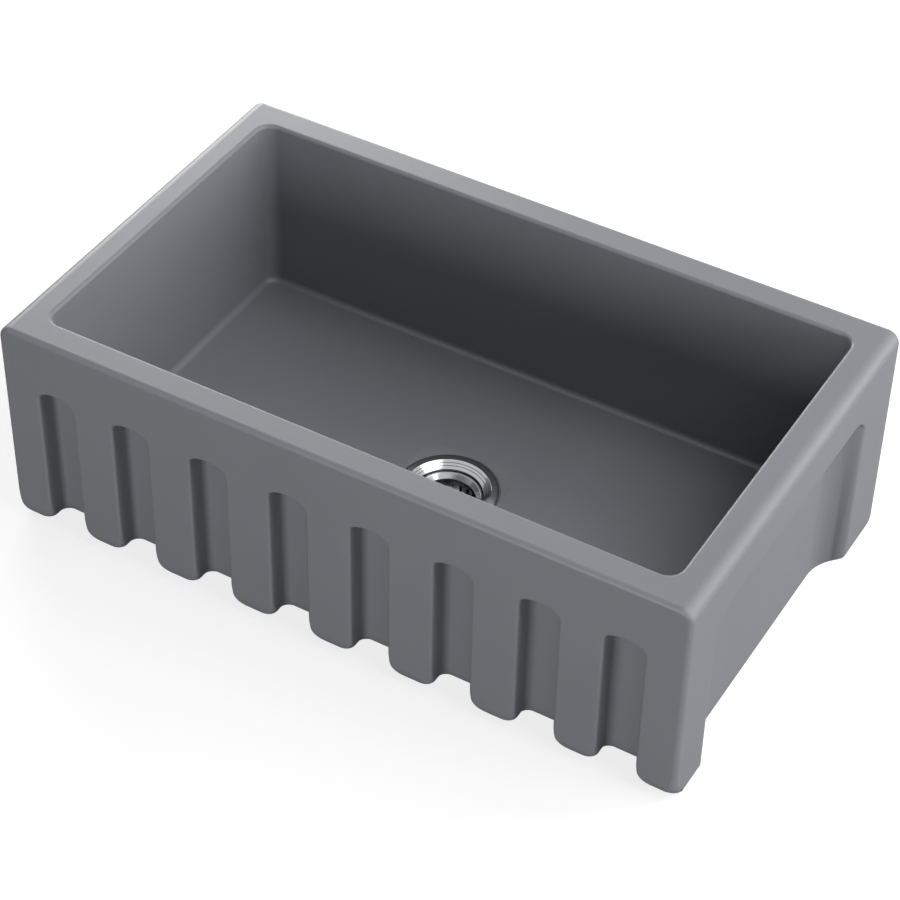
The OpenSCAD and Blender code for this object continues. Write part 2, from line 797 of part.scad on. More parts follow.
// Slotted spring sleeve that swells below the cross bar and snaps through its hub
module spring_clip() {
    top_r = post_d / 2 + running_gap + clip_sheet;
    bulge_r = clip_d / 2;
    bulge_z = clip_bottom_z + (clip_top_z - clip_bottom_z) / 4;
    color([0.78, 0.74, 0.62]) difference() {
        rotate_extrude() polygon([
            [top_r - clip_sheet, clip_top_z], [top_r, clip_top_z],
            [bulge_r, bulge_z + clip_sheet], [bulge_r, bulge_z],
            [top_r, clip_bottom_z], [top_r - clip_sheet, clip_bottom_z],
            [bulge_r - clip_sheet, bulge_z], [bulge_r - clip_sheet, bulge_z + clip_sheet]
        ]);
        for (i = [0:clip_slots - 1]) rotate([0, 0, (i + 1 / 2) * 360 / clip_slots])
            translate([0, -clip_slot_w / 2, clip_bottom_z + clip_sheet])
                cube([
                    clip_d, clip_slot_w, clip_top_z - clip_bottom_z - 4 * clip_sheet
                ]);
    }
}

// Hexagon nut at the foot of the post
module post_nut() {
    color([0.72, 0.73, 0.74]) translate([0, 0, post_foot_z]) difference() {
        cylinder(h = nut_h, d = (post_d + 2 * nut_wall) / cos(30), $fn = 6);
        translate([0, 0, -overrun]) cylinder(h = nut_h + 2 * overrun, d = post_d + 2 * running_gap);
    }
}

sink_body();
putty_ring();
strainer_body();
cross_bar();
outlet_collar();
sink_gasket();
friction_washer();
locknut();
tailpiece_washer();
tailpiece();
coupling_nut();
basket_cup();
basket_post();
basket_knob();
glide_washer();
stopper_plate();
stopper_seal();
spring_clip();
post_nut();
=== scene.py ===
# %% [markdown]
# A farmhouse sink with a fluted apron front, dressed for its picture.
# The body is one heavy fireclay casting under a satin grey glaze. In its drain sits a basket
# strainer of polished steel, clamped from below by a locknut, a collar and a coupling nut.
# The packed model gives every piece its place and its size. This script makes the pieces again
# with what the eye wants: threads, rolled edges, the carved apron and the finish of each surface.
# Nothing is moved, and nothing grows past the model's box.

# %% Load the packed model as the fixed frame
import json
import math

import bmesh
import bpy
from mathutils import Matrix, Vector


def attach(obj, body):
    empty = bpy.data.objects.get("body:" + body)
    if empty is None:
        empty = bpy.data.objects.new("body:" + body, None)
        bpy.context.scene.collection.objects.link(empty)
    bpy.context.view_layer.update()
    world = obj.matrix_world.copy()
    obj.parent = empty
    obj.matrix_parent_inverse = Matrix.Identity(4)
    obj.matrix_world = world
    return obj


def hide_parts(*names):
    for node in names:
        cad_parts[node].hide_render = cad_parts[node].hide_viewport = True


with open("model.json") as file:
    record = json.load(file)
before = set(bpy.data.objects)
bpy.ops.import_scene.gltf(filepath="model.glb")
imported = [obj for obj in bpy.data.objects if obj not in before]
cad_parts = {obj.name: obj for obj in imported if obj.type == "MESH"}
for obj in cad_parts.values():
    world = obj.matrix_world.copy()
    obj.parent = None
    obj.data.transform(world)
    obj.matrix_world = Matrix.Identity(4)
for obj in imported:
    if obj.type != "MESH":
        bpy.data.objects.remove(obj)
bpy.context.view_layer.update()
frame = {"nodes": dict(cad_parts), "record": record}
MM = 0.001

# %% [markdown]
# The camera stands where the photographer's did. Its place and its three angles were found by
# fitting the straight edges of the body. The long lens keeps those edges almost parallel. The
# fit held the middle of the picture fixed, so the lens needs no shift here, nor in any other
# view of the sink.

# %% Camera
CAMERA_PLACE = Vector((1.0124, -1.7774, 1.9368))
CAMERA_AZIMUTH = math.radians(29.617)
CAMERA_ELEVATION = math.radians(42.017)
CAMERA_ROLL = math.radians(1.25)
FOCAL_PIXELS = 2697.1
PICTURE_PIXELS = 900
SENSOR_WIDTH = 36
NEAREST, FARTHEST = 0.05, 60

camera = bpy.data.objects.new("camera", bpy.data.cameras.new("camera"))
bpy.context.scene.collection.objects.link(camera)
bpy.context.scene.camera = camera
camera.data.sensor_width = SENSOR_WIDTH
camera.data.lens = FOCAL_PIXELS / PICTURE_PIXELS * SENSOR_WIDTH
camera.data.clip_start, camera.data.clip_end = NEAREST, FARTHEST
look_down = math.pi / 2 - CAMERA_ELEVATION
camera.matrix_world = (
    Matrix.Translation(CAMERA_PLACE)
    @ Matrix.Rotation(CAMERA_AZIMUTH, 4, "Z")
    @ Matrix.Rotation(look_down, 4, "X")
    @ Matrix.Rotation(CAMERA_ROLL, 4, "Z")
)
print("lens in mm:", round(camera.data.lens, 2))

# %% [markdown]
# Shader maths reads badly as boxes and wires, so it is written as Python here. A Wire is one
# value on its way through a material. Adding or multiplying wires adds the Math nodes that do
# it, also with a plain number on the left, as in 0.4 + mask. Every other node comes from one
# method of Workbench, which sets the node up first and then feeds its sockets.

# %% A wire that adds its own maths nodes
class Wire:
    """One value inside a node tree, which plain arithmetic can be done with."""

    def __init__(self, bench, socket):
        self.bench = bench
        self.socket = socket

    def maths(self, operation, first, second):
        return self.bench.node(
            "ShaderNodeMath", {"operation": operation}, {0: first, 1: second}
        )

    def __add__(self, other):
        return self.maths("ADD", self, other)

    def __radd__(self, other):
        return self.maths("ADD", other, self)

    def __mul__(self, other):
        return self.maths("MULTIPLY", self, other)

    def __rmul__(self, other):
        return self.maths("MULTIPLY", other, self)


# %% A workbench for any node tree
class Workbench:
    """Adds nodes to a tree and joins them."""

    def __init__(self, tree):
        self.tree = tree

    def node(self, kind, settings=None, feeds=None, output=0):
        """Adds a node, sets it up, feeds its sockets and gives back one of its outputs."""
        made = self.tree.nodes.new(kind)
        for name, value in (settings or {}).items():
            setattr(made, name, value)
        for socket, value in (feeds or {}).items():
            self.feed(made.inputs[socket], value)
        return Wire(self, made.outputs[output])

    def feed(self, socket, value):
        """Joins a wire to a socket, or sets the socket to a plain value."""
        if isinstance(value, Wire):
            self.tree.links.new(value.socket, socket)
        else:
            socket.default_value = value


print("wires and workbench ready")

# %% [markdown]
# A finish is a workbench with one material on it. It starts as a plain surface, whose even values
# are set on its own sockets. What changes over the surface is led there by show. Noise, colour
# mixes and relief are all that these finishes need, so each has its own short method.

# %% A finish: one material and the nodes that make it
class Finish(Workbench):
    """A material that starts as a plain surface and is given detail node by node."""

    def __init__(self, name, **plain):
        self.material = bpy.data.materials.new(name)
        self.material.use_nodes = True
        super().__init__(self.material.node_tree)
        self.surface = self.tree.nodes["Principled BSDF"]
        for socket, value in plain.items():
            self.surface.inputs[socket.replace("_", " ")].default_value = value

    def show(self, socket, wire):
        """Leads a wire into one of the surface's own sockets."""
        self.feed(self.surface.inputs[socket], wire)

    def place(self):
        """Where a point lies on the piece, in metres."""
        return self.node("ShaderNodeTexCoord", output="Object")

    def noise(self, grain, detail=2.0, stretch=None):
        """Soft random values from 0 to 1 whose grains are about one length across."""
        where = self.place()
        if stretch:
            where = self.node("ShaderNodeMapping", {}, {"Vector": where, "Scale": stretch})
        return self.node(
            "ShaderNodeTexNoise", {},
            {"Vector": where, "Scale": 1 / grain, "Detail": detail, "Roughness": 0.5},
        )

    def mix(self, mask, low, high):
        """Goes from one colour to another as the mask goes from 0 to 1."""
        return self.node(
            "ShaderNodeMix", {"data_type": "RGBA"},
            {"Factor": mask, 6: (*low, 1.0), 7: (*high, 1.0)}, output=2,
        )

    def relief(self, height, depth, below=None):
        """Raises the surface by a height from 0 to 1 times a depth in metres."""
        feeds = {"Height": height, "Distance": depth, "Strength": 1.0}
        if below is not None:
            feeds["Normal"] = below
        return self.node("ShaderNodeBump", {}, feeds)


print("methods of a finish:", [name for name in vars(Finish) if not name.startswith("_")])

# %% [markdown]
# The glaze of the body is satin: it scatters most of the light and keeps a soft sheen on its
# rounded edges. A sprayed glaze is never quite even. It gets a faint cloudiness in its colour,
# a slow change in its gloss, and the low ripple that fireclay keeps from its mould. A photo of
# clean ceramic shows these as almost nothing, so each one is kept just above invisible.

# %% Fireclay under a satin grey glaze
GLAZE = (0.2, 0.204, 0.223)
GLAZE_SPREAD = 0.045
CLOUD_GRAIN, SPECK_GRAIN, SHEEN_GRAIN = 0.09, 0.0011, 0.05
RIPPLE_GRAIN, RIPPLE_DEPTH = 0.035, 0.00022
PEEL_GRAIN, PEEL_DEPTH = 0.0028, 0.000012


def spread_colour(colour, down, up):
    """A darker and a lighter colour beside the given one; neither goes past full white."""
    return [c * (1 - down) for c in colour], [min(1.0, c * (1 + up)) for c in colour]


def make_fireclay():
    finish = Finish(
        "satin_fireclay", Base_Color=(*GLAZE, 1.0), Roughness=0.46,
        Specular_IOR_Level=0.42, Coat_Roughness=0.28,
    )
    clouds = finish.noise(CLOUD_GRAIN, detail=3.0)
    specks = finish.noise(SPECK_GRAIN, detail=1.0)
    finish.show("Base Color", finish.mix(
        clouds * 0.7 + specks * 0.3, *spread_colour(GLAZE, GLAZE_SPREAD, GLAZE_SPREAD)
    ))
    finish.show("Roughness", 0.42 + clouds * 0.08)
    finish.show("Coat Weight", 0.10 + finish.noise(SHEEN_GRAIN) * 0.06)
    ripple = finish.relief(finish.noise(RIPPLE_GRAIN, detail=1.0), RIPPLE_DEPTH)
    peel = finish.relief(finish.noise(PEEL_GRAIN, detail=1.0), PEEL_DEPTH, ripple)
    finish.show("Normal", peel)
    return finish.material


fireclay = make_fireclay()
print("glaze:", fireclay.name)

# %% [markdown]
# The metals differ in how they were worked. Pressed and polished steel mirrors the room with a
# faint haze. Turned steel keeps rings from the lathe. Cast zinc is dull and grainy. One helper
# makes them all, and takes the grain's size and how far it is stretched.

# %% Metals
SMEAR_GRAIN = 0.012
RINGS = (1.0, 1.0, 14.0)


def make_metal(name, colour, gloss, grain, depth, stretch=None, wear=0.06):
    finish = Finish(name, Base_Color=(*colour, 1.0), Metallic=1.0, Roughness=gloss)
    fine = finish.noise(grain, detail=3.0, stretch=stretch)
    smears = finish.noise(SMEAR_GRAIN, detail=2.0)
    finish.show("Roughness", gloss * 0.7 + smears * wear + fine * gloss * 0.5)
    finish.show("Base Color", finish.mix(smears, *spread_colour(colour, 0.06, 0.04)))
    finish.show("Normal", finish.relief(fine, depth))
    return finish.material


polished_steel = make_metal("polished_steel", (0.46, 0.465, 0.475), 0.12, 0.0016, 0.000003)
turned_steel = make_metal("turned_steel", (0.62, 0.625, 0.63), 0.2, 0.002, 0.000006, RINGS)
spring_steel = make_metal("spring_steel", (0.5, 0.49, 0.46), 0.3, 0.0012, 0.000005)
raw_brass = make_metal("raw_brass", (0.62, 0.45, 0.19), 0.3, 0.002, 0.000008, RINGS, 0.14)
cast_zinc = make_metal("cast_zinc", (0.45, 0.46, 0.47), 0.46, 0.0007, 0.00004, None, 0.1)
plated = make_metal("plated_chrome", (0.66, 0.675, 0.69), 0.08, 0.004, 0.000003)
print("metals: 6")

# %% [markdown]
# Rubber, nylon, fibre and putty are all dull, and the eye tells them apart by colour and grain.
# One helper makes the four. The record says which slot each node has, so the CAD pieces that stay
# in view, the cross bar and the spring clip, get their finish here as well.

# %% Soft and moulded finishes
def make_dull(name, colour, roughness, grain, depth, spread=0.12):
    finish = Finish(name, Base_Color=(*colour, 1.0), Roughness=roughness)
    fine = finish.noise(grain, detail=4.0)
    finish.show("Base Color", finish.mix(fine, *spread_colour(colour, spread, spread)))
    finish.show("Roughness", roughness - 0.05 + fine * 0.1)
    finish.show("Normal", finish.relief(fine, depth))
    return finish.material


black_rubber = make_dull("black_rubber", (0.022, 0.022, 0.023), 0.62, 0.0009, 0.00002)
white_nylon = make_dull("white_nylon", (0.74, 0.74, 0.70), 0.4, 0.003, 0.000008, 0.03)
pressed_fibre = make_dull("pressed_fibre", (0.34, 0.20, 0.11), 0.8, 0.0005, 0.00004, 0.25)
putty = make_dull("plumbers_putty", (0.30, 0.285, 0.24), 0.75, 0.002, 0.0001)

FINISHES = {
    "fireclay": fireclay, "putty": putty, "strainer_steel": polished_steel,
    "basket_steel": polished_steel, "turned_steel": turned_steel,
    "spring_steel": spring_steel, "brass": raw_brass, "black_rubber": black_rubber,
    "fibre": pressed_fibre, "zinc_casting": cast_zinc, "white_nylon": white_nylon,
    "plated_tube": plated, "plated_nut": plated,
}
slot_of = {row["node"]: row["material_slot"] for row in frame["record"]["subparts"]}
for name, node in frame["nodes"].items():
    node.data.materials.clear()
    node.data.materials.append(FINISHES[slot_of[name]])
print("finishes:", len(set(FINISHES.values())))

# %% [markdown]
# Most of the fittings were turned, so they are made here as a lathe makes them: one outline of
# corners, each with its own rounding, is spun about the drain's axis. A helper bends the radius
# as the outline goes round. That gives real spiral threads, hexagons and lugs from the same
# spin, which stacked plain rings could not.

# %% Outlines with rounded corners
SIDE_SHARE = 0.49


def soften(corners, steps=4):
    """Rounds a closed outline of (radius, height, rounding) corners; all in millimetres."""
    outline = []
    for i, (r, z, rounding) in enumerate(corners):
        here = Vector((r, z))
        before = Vector(corners[i - 1][:2]) - here
        after = Vector(corners[(i + 1) % len(corners)][:2]) - here
        if not rounding:
            outline.append((r, z))
            continue
        reach = min(
            rounding / math.tan(before.angle(after) / 2),
            before.length * SIDE_SHARE, after.length * SIDE_SHARE,
        )
        start = here + before.normalized() * reach
        end = here + after.normalized() * reach
        for k in range(steps + 1):
            t = k / steps
            bend = start * (1 - t) ** 2 + here * 2 * t * (1 - t) + end * t ** 2
            outline.append((bend.x, bend.y))
    return outline


def levels(low, high, step):
    """Heights from low to high in even steps, to carry a thread."""
    count = max(2, round(abs(high - low) / step))
    return [low + (high - low) * i / count for i in range(count + 1)]


print("points of a softened square:", len(soften([(0, 0, 1), (9, 0, 1), (9, 9, 1), (0, 9, 1)])))

# %% [markdown]
# The spun points are joined to one closed skin. Edges flatter than the smooth angle shade as one
# surface. A smooth flat face beside a small rounding would still look domed, so the bigger faces
# are given more say in how the light runs over their shared edges.

# %% The lathe
SMOOTH_ANGLE = math.radians(34)
JOIN_REACH = 1e-6


def finish_mesh(name, points, faces, material):
    """Makes a closed piece from points in millimetres, smooth but for its sharp edges."""
    mesh = bpy.data.meshes.new(name)
    mesh.from_pydata([Vector(p) * MM for p in points], [], faces)
    shape = bmesh.new()
    shape.from_mesh(mesh)
    bmesh.ops.remove_doubles(shape, verts=shape.verts, dist=JOIN_REACH)
    bmesh.ops.recalc_face_normals(shape, faces=shape.faces)
    shape.to_mesh(mesh)
    shape.free()
    mesh.polygons.foreach_set("use_smooth", [True] * len(mesh.polygons))
    mesh.set_sharp_from_angle(angle=SMOOTH_ANGLE)
    mesh.materials.append(material)
    piece = bpy.data.objects.new(name, mesh)
    bpy.context.scene.collection.objects.link(piece)
    return piece


def shade_evenly(piece):
    """Lets the bigger faces decide how the light runs over shared edges."""
    even = piece.modifiers.new("even_shading", "WEIGHTED_NORMAL")
    even.keep_sharp = True


def stand_for(piece, node, body):
    """Lets a piece stand for its CAD node and ride on its body."""
    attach(piece, body)
    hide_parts(node)
    return piece


def turn(node, body, outline, shape=None, sides=96):
    """Spins an outline about the drain's axis and lets the piece stand for its CAD node."""
    points, faces = [], []
    count = len(outline)
    for i in range(sides):
        angle = 2 * math.pi * i / sides
        for r, z in outline:
            radius = shape(r, z, angle) if shape else r
            points.append((radius * math.cos(angle), radius * math.sin(angle), z))
    for i in range(sides):
        j = (i + 1) % sides
        for k in range(count):
            n = (k + 1) % count
            faces.append((i * count + k, j * count + k, j * count + n, i * count + n))
    piece = finish_mesh(node + "_turned", points, faces, FINISHES[slot_of[node]])
    shade_evenly(piece)
    return stand_for(piece, node, body)


print("lathe ready, 96 sides")

# %% [markdown]
# Threads, lugs and hexagons are shapes that bend the radius while the outline goes round. A
# thread is a zigzag that climbs one pitch in a turn, cut flat at its crests. Lugs rise from the
# wall with soft flanks. A hexagon limits the wall to six flats and leaves the round chamfers.

# %% Shapes for the lathe
WALL_SLACK = 0.02
THREAD_FLANK = 1.2
LUG_WALL, LUG_FLANK = 1.5, 2.0
HEX_WALL = 0.5


def thread(crest_r, low, high, pitch, depth):
    """A spiral groove cut into the radius crest_r between two heights, run out at its ends."""
    def shape(r, z, angle):
        if abs(r - crest_r) > WALL_SLACK or not low <= z <= high:
            return r
        fade = min(1.0, (z - low) / pitch, (high - z) / pitch)
        phase = (z / pitch - angle / (2 * math.pi)) % 1.0
        return r + depth * fade * min(1.0, THREAD_FLANK * abs(2 * phase - 1))
    return shape


def both(first, second):
    """One shape after another."""
    return lambda r, z, angle: second(first(r, z, angle), z, angle)


def lugs(count, root_r, tip_r, width):
    """Lifts an outer wall into lugs with soft flanks."""
    def shape(r, z, angle):
        if r < root_r - LUG_WALL:
            return r
        step = 2 * math.pi / count
        off = abs((angle + step / 2) % step - step / 2) * root_r
        rise = min(1.0, max(0.0, ((width + LUG_FLANK) / 2 - off) / LUG_FLANK))
        return r + (tip_r - root_r) * rise * rise * (3 - 2 * rise)
    return shape


def hexagon(flat_r):
    """Turns an outer wall into six flats; the spun outline keeps its round chamfers."""
    def shape(r, z, angle):
        if r < flat_r - HEX_WALL:
            return r
        step = math.pi / 3
        off = (angle + step / 2) % step - step / 2
        return min(r, flat_r / math.cos(off))
    return shape


print("one lug lifts a wall of 9 mm to:", lugs(1, 9.0, 10.0, 2.0)(9.0, 0.0, 0.0))

# %% [markdown]
# The strainer is pressed from one sheet. Its flange lies almost flat, turned down a little at the
# edge so that it bites the putty. From there the dished throat goes down in two small steps, and
# it is a little narrower than in the packed model where the basket's rim sits. These slopes make
# the rings in the photo: the flat flange mirrors the dark back wall, the throat mirrors the room.
# Round its outside the cup carries the coarse thread for the locknut.

# %% Strainer
STRAINER_R, STRAINER_PITCH, STRAINER_DEPTH = 41.5, 2.1, -0.95
STRAINER_THREAD = (-4.0, 32.8)
FINE_STEP = 0.42
strainer_outline = soften([
    (53.5, 38.6, 0.2), (53.4, 39.2, 0.4), (51.5, 39.75, 1.0), (45.4, 40.0, 0.8),
    (43.0, 38.2, 0.2), (42.8, 37.5, 0.2), (40.6, 36.0, 0.2), (40.4, 35.3, 0.2),
    (38.9, 34.3, 0.3), (37.4, 33.4, 0.3), (37.2, 32.6, 0.4), (37.2, 24.0, 2.0),
    (38.5, 18.0, 2.0), (38.5, -16.0, 8.0), (20.9, -16.0, 1.3), (19.5, -17.6, 1.2),
    (19.5, -26.0, 0.2), (21.0, -26.0, 0.2), (21.0, -17.5, 0.6), (40.0, -17.5, 9.4),
    (40.0, -4.2, 0.2),
], steps=6)
strainer_outline += [(STRAINER_R, z) for z in levels(-4.2, 33.0, FINE_STEP)]
strainer_outline += [(44.8, 37.8), (45.4, 38.3), (46.2, 38.5), (52.9, 38.5)]
turn(
    "strainer_body", "sink", strainer_outline,
    thread(STRAINER_R, *STRAINER_THREAD, STRAINER_PITCH, STRAINER_DEPTH), sides=128,
)
print("strainer outline points:", len(strainer_outline))

# %% [markdown]
# Under the flange lies its bed of putty, pressed out into a soft bead. Below the body come the
# rubber gasket, the fibre washer that keeps the nut from dragging the rubber round, and the cast
# locknut with eight lugs for a spud wrench.

# %% Putty, gasket, fibre washer and locknut
turn("putty_ring", "sink", soften([
    (48.6, 37.55, 0.3), (52.4, 37.55, 0.4), (52.4, 38.45, 0.4), (48.6, 38.45, 0.3),
]))
turn("sink_gasket", "sink", soften([
    (41.7, 15.02, 0.5), (55.0, 15.02, 0.9), (55.0, 17.98, 0.9), (41.7, 17.98, 0.5),
]))
turn("friction_washer", "sink", soften([
    (41.8, 13.82, 0.15), (52.0, 13.82, 0.25), (52.0, 14.98, 0.25), (41.8, 14.98, 0.15),
]))
NUT_BORE_R, NUT_R, NUT_LUG_R = 41.65, 49.0, 53.9
NUT_LOW, NUT_HIGH = 5.5, 13.1
locknut_outline = [(NUT_BORE_R, z) for z in levels(NUT_HIGH, NUT_LOW, FINE_STEP)] + soften([
    (42.6, 4.82, 0.2), (47.9, 4.82, 0.6), (NUT_R, 5.9, 0.8), (NUT_R, 12.9, 0.8),
    (48.0, 13.78, 0.5), (42.6, 13.78, 0.2),
])
nut_thread = thread(NUT_BORE_R, NUT_LOW, NUT_HIGH, STRAINER_PITCH, 0.85)
turn(
    "locknut", "sink", locknut_outline,
    both(nut_thread, lugs(8, NUT_R, NUT_LUG_R, 13.0)), sides=192,
)
print("fixings below the bowl: 4")

# %% [markdown]
# The outlet carries a brass collar with the standard 1 1/2 inch thread. The tailpiece hangs from
# it by its flange: a soft washer seals the joint, and the coupling nut draws both together. The
# tube's wall shows at its lower end, where the trap slips on.

# %% Collar, tailpiece and coupling nut
COLLAR_R, COLLAR_LOW, COLLAR_HIGH = 23.8, -45.0, -21.4
COUPLING_BORE_R, COUPLING_LOW, COUPLING_HIGH = 23.95, -49.2, -35.0
COUPLING_R, COUPLING_LUG_R = 27.2, 29.5
TUBE_PITCH = 2.2
TUBE_STEP = 0.4
collar_outline = [(COLLAR_R, z) for z in levels(COLLAR_LOW, COLLAR_HIGH, TUBE_STEP)] + soften([
    (28.4, -20.5, 0.3), (29.0, -19.9, 0.5), (29.0, -18.0, 0.5), (28.5, -17.55, 0.3),
    (21.05, -17.55, 0.2), (21.05, -28.95, 0.1), (19.6, -28.95, 0.2), (19.6, -45.7, 0.3),
    (23.0, -45.95, 0.3),
])
collar_thread = thread(COLLAR_R, COLLAR_LOW, COLLAR_HIGH, TUBE_PITCH, -0.9)
turn("outlet_collar", "sink", collar_outline, collar_thread)
turn("tailpiece_washer", "sink", soften([
    (17.9, -48.48, 0.3), (23.6, -48.48, 0.6), (23.6, -46.02, 0.6), (17.9, -46.02, 0.3),
]))
turn("tailpiece", "sink", soften([
    (17.9, -149.85, 0.3), (19.05, -149.85, 0.3), (19.05, -51.2, 1.0), (20.0, -49.85, 0.4),
    (23.6, -49.85, 0.5), (23.6, -48.55, 0.5), (18.4, -48.55, 0.6), (17.9, -49.4, 0.4),
]))
coupling_outline = [
    (COUPLING_BORE_R, z) for z in levels(COUPLING_HIGH, COUPLING_LOW, TUBE_STEP)
] + soften([
    (23.9, -49.7, 0.2), (20.1, -49.9, 0.3), (20.1, -52.8, 0.4), (26.0, -52.8, 0.8),
    (COUPLING_R, -51.4, 0.8), (COUPLING_R, -35.6, 0.8), (26.0, -34.1, 0.6), (24.9, -34.1, 0.3),
])
coupling_thread = thread(COUPLING_BORE_R, COUPLING_LOW, COUPLING_HIGH, TUBE_PITCH, 0.85)
turn(
    "coupling_nut", "sink", coupling_outline,
    both(coupling_thread, lugs(6, COUPLING_R, COUPLING_LUG_R, 6.0)), sides=144,
)
print("outlet pieces: 4")

# %% [markdown]
# The stopper set rises with the knob. The knob was pressed and turned, so its crown is one smooth
# swell over a waist for the fingertips. Its post has a collar that keeps the basket down, and
# carries the plate and the rubber stopper with its thin sealing lip.

# %% Knob, post, washers, stopper and nut
TINY = 0.02
POST_R, POST_PITCH, POST_STEP = 3.5, 1.25, 0.25
POST_THREAD = (-43.0, -33.0)
POST_NUT_THREAD = (-43.2, -39.2)
turn("basket_knob", "stopper_set", soften([
    (TINY, 27.1, 0.0), (4.7, 27.1, 0.5), (4.9, 28.6, 1.2), (4.3, 30.4, 1.5), (8.2, 31.4, 1.2),
    (10.4, 32.9, 1.1), (10.2, 34.9, 1.4), (6.2, 36.7, 4.0), (TINY, 37.0, 0.0),
], steps=6))
post_outline = [(TINY, -43.68), (2.9, -43.68)] + [
    (POST_R, z) for z in levels(*POST_THREAD, POST_STEP)
] + soften([
    (POST_R, -7.95, 0.0), (6.9, -7.95, 0.4), (6.9, -5.0, 0.6), (3.6, -2.0, 0.8),
    (POST_R, 27.0, 0.1), (TINY, 27.05, 0.0),
])
post_thread = thread(POST_R, *POST_THREAD, POST_PITCH, -0.6)
turn("basket_post", "stopper_set", post_outline, post_thread, 48)
turn("glide_washer", "stopper_set", soften([
    (3.6, -10.48, 0.1), (9.0, -10.48, 0.3), (9.0, -9.52, 0.3), (3.6, -9.52, 0.1),
]), sides=64)
turn("stopper_plate", "stopper_set", soften([
    (3.6, -11.68, 0.1), (19.0, -11.68, 0.2), (19.0, -11.0, 0.3), (18.2, -10.52, 0.3),
    (16.6, -10.9, 0.4), (3.6, -10.9, 0.1),
]))
turn("stopper_seal", "stopper_set", soften([
    (3.6, -15.68, 0.1), (19.5, -15.68, 0.5), (20.5, -15.2, 0.6), (26.0, -15.5, 0.3),
    (26.95, -13.75, 0.3), (24.5, -13.1, 1.0), (19.2, -11.72, 0.4), (3.6, -11.72, 0.1),
], steps=5))
nut_outline = [(POST_R, z) for z in levels(*POST_NUT_THREAD[::-1], POST_STEP)] + soften([
    (4.0, -43.65, 0.1), (5.5, -43.65, 0.2), (6.3, -43.1, 0.2), (6.3, -39.3, 0.2),
    (5.5, -38.75, 0.2), (4.0, -38.75, 0.1),
])
post_nut_thread = thread(POST_R, *POST_NUT_THREAD, POST_PITCH, 0.35)
turn("post_nut", "stopper_set", nut_outline, both(post_nut_thread, hexagon(5.5)))
print("stopper set pieces: 6")

# %% [markdown]
# The apron is what the eye goes to. A flute is a pocket with four different edges: a tight
# rounded lip on the face, a softer root at its floor, a shallow arch on top, and a foot where the
# casting's bottom rounding runs on along both walls and across the floor. The ribs between the
# flutes therefore end in round toes. A Bevel modifier could round such edges, but their radii
# change on the way and they run into each other, which a bevel follows badly. So every flute is
# carved by lofted solids instead: the pocket, the foot and the rounded corners of the toes. Here
# are the sizes that they share, in millimetres. BELOW is the height at which they end under the
# casting, and WASTE is how far feet and toe corners reach out past a face.

# %% Sizes of the fluted apron
APRON_Y = -228.6
TOE_R = 21.5
FLUTE_PLACES = [side * x for x in (45.8, 137.4, 229.0, 317.3) for side in (-1, 1)]
FLUTE_HALF = 20.9
FLUTE_DEEP = 25.0
FLUTE_TOP = 188.5
ARCH_RISE = 7.0
CORNER_R = 7.5
LIP_R = 3.0
ROOT_R = 6.0
BELOW = -8.0
WASTE = 9.0
ARCH_R = (FLUTE_HALF ** 2 + ARCH_RISE ** 2) / (2 * ARCH_RISE)
ARCH_Z = FLUTE_TOP - ARCH_R
CORNER_X = FLUTE_HALF - CORNER_R
CORNER_TURN = math.asin(CORNER_X / (ARCH_R - CORNER_R))
CORNER_Z = ARCH_Z + (ARCH_R - CORNER_R) * math.cos(CORNER_TURN)
print("arch radius:", round(ARCH_R, 1), "corner height:", round(CORNER_Z, 1))

# %% [markdown]
# A loft joins outlines that have the same number of points and closes both ends. Many lofts are
# gathered into one mesh, so that a single exact Boolean cuts them all. The Boolean is applied at
# once, because the export wants the final mesh and the next cut starts from it.

# %% Solids that carve
def loft(rings):
    """Points and faces of a closed solid through outlines that have as many points each."""
    count = len(rings[0])
    points = [point for ring in rings for point in ring]
    faces = [tuple(range(count))[::-1]]
    for i in range(len(rings) - 1):
        for k in range(count):
            n = (k + 1) % count
            faces.append((
                i * count + k, i * count + n, (i + 1) * count + n, (i + 1) * count + k
            ))
    last = (len(rings) - 1) * count
    faces.append(tuple(range(last, last + count)))
    return points, faces


def gather(name, solids):
    """Puts many closed solids into one mesh."""
    points, faces = [], []
    for solid_points, solid_faces in solids:
        base = len(points)
        points += solid_points
        faces += [tuple(base + i for i in face) for face in solid_faces]
    return finish_mesh(name, points, faces, fireclay)


def carve(piece, operation, tool):
    """Applies one Boolean for good and takes its tool away."""
    boolean = piece.modifiers.new(operation, "BOOLEAN")
    boolean.operation = operation
    boolean.solver = "EXACT"
    boolean.object = tool
    bpy.context.view_layer.update()
    graph = bpy.context.evaluated_depsgraph_get()
    shaped = bpy.data.meshes.new_from_object(piece.evaluated_get(graph))
    piece.modifiers.clear()
    piece.data = shaped
    bpy.data.objects.remove(tool)


def finish_carved(piece, material):
    """Gives a carved piece one finish and smooth shading between its sharp edges."""
    mesh = piece.data
    mesh.materials.clear()
    mesh.materials.append(material)
    mesh.polygons.foreach_set("material_index", [0] * len(mesh.polygons))
    mesh.polygons.foreach_set("use_smooth", [True] * len(mesh.polygons))
    mesh.set_sharp_from_angle(angle=SMOOTH_ANGLE)
    shade_evenly(piece)


print("flutes to carve:", len(FLUTE_PLACES))

# %% [markdown]
# The pocket is a stack of arch outlines from in front of the apron to the flute's floor. Growing
# the outline near the face rounds the lip, and shrinking it near the floor rounds the root. Both
# follow quarter circles, so the two radii are real.

# %% The pocket of a flute
LIP_STEPS, ROOT_STEPS = 6, 8
CORNER_STEPS, ARCH_STEPS = 8, 6
POCKET_LEAD = 1.0


def quarter(steps):
    """The angles of a quarter circle in even steps, with both of its ends."""
    return [math.pi / 2 * k / steps for k in range(steps + 1)]


